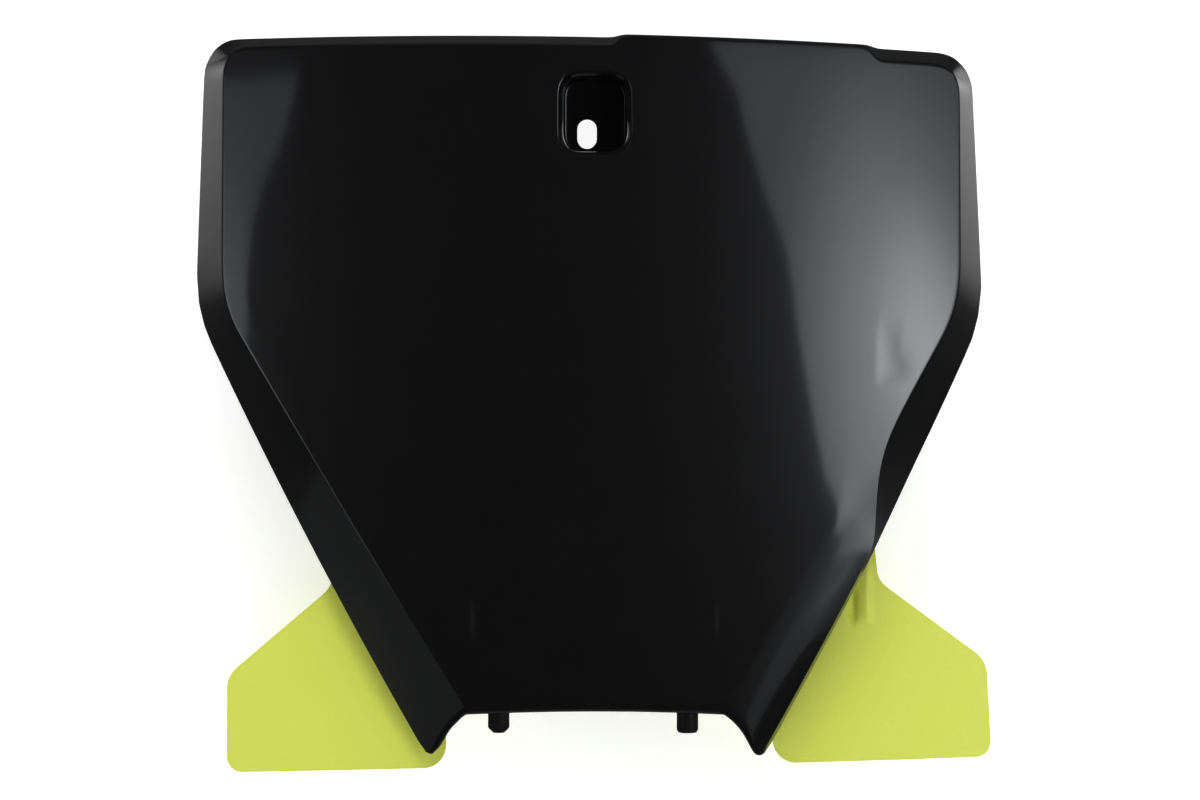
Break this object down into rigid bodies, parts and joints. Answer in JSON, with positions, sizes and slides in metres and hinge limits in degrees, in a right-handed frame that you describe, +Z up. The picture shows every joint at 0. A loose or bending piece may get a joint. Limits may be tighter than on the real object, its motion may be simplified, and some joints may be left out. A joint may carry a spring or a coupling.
{
  "type": "racing number board",
  "caption": "Moulded front number board for an off-road motorbike: a thin curved shell with a recessed mounting pocket, locating lugs below and separate coloured wings behind its lower corners",
  "frame": {"origin": "middle of the mounting slot, on the flat seat behind the pocket's floor", "axes": "upright as mounted on the machine: +Z up, the face looks towards -Y, +X is to the right of someone who looks at the face"},
  "size_m": [0.2614, 0.0416, 0.2406],
  "materials": {
    "plate_plastic": "black moulded polypropylene with a satin gloss",
    "wing_plastic": "yellow-green moulded polypropylene, satin",
    "screw_steel": "zinc-plated steel"
  },
  "bodies": {
    "root": {"face_plate": "plate_plastic", "left_wing": "wing_plastic", "right_wing": "wing_plastic", "wing_screws": "screw_steel"}
  },
  "joints": []
}
